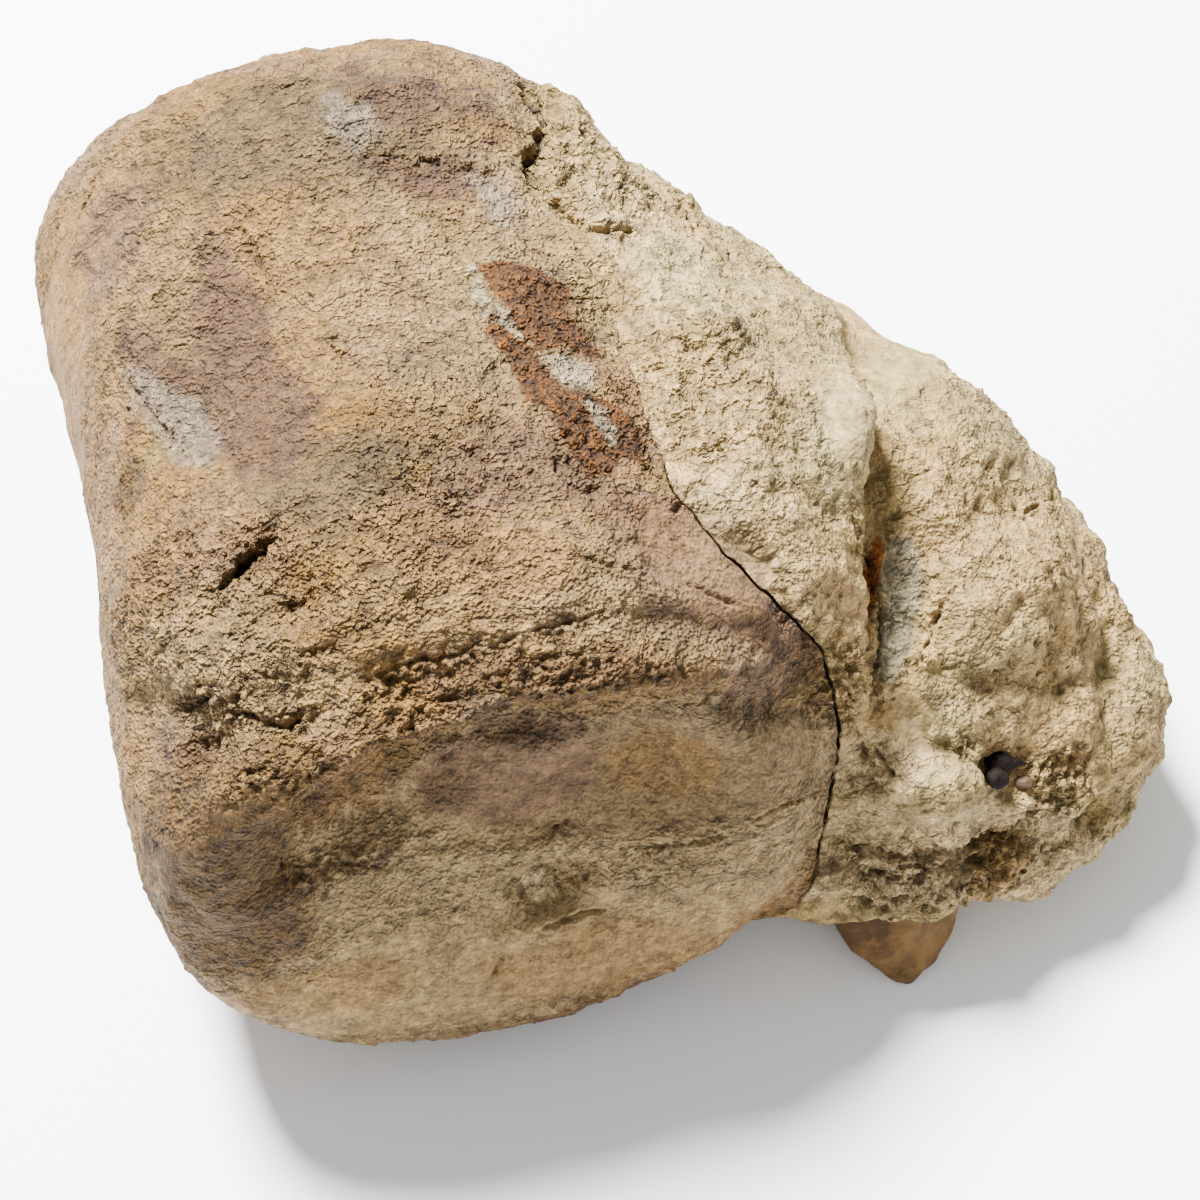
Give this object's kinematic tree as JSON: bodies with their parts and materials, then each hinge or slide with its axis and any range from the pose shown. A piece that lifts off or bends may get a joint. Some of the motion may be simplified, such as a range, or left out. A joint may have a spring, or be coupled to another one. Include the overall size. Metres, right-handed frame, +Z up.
{
  "type": "fossil whale vertebra",
  "caption": "Waisted fossil vertebra lying on its side, a dished end forward, still joined to a block of pale matrix that holds a dark nodule.",
  "frame": {"origin": "middle of the underside, on the surface that the specimen lies on", "axes": "+Z up; -Y the way the dished end of the vertebra faces; +X from the bone towards the block of matrix"},
  "size_m": [0.2848, 0.2402, 0.1376],
  "materials": {
    "fossil_bone": "mineralised bone, tan with ochre and grey-purple stains, dull",
    "matrix_rock": "pale crumbly sediment rock, pitted, dull",
    "amber_bone": "smooth amber-tan bone, faint lustre",
    "nodule": "black phosphatic nodule, shiny",
    "pebble": "smooth brown pebble"
  },
  "bodies": {
    "root": {"vertebra": "fossil_bone", "matrix": "matrix_rock", "bone_spur": "amber_bone", "black_nodule": "nodule", "brown_pebble": "pebble"}
  },
  "joints": []
}
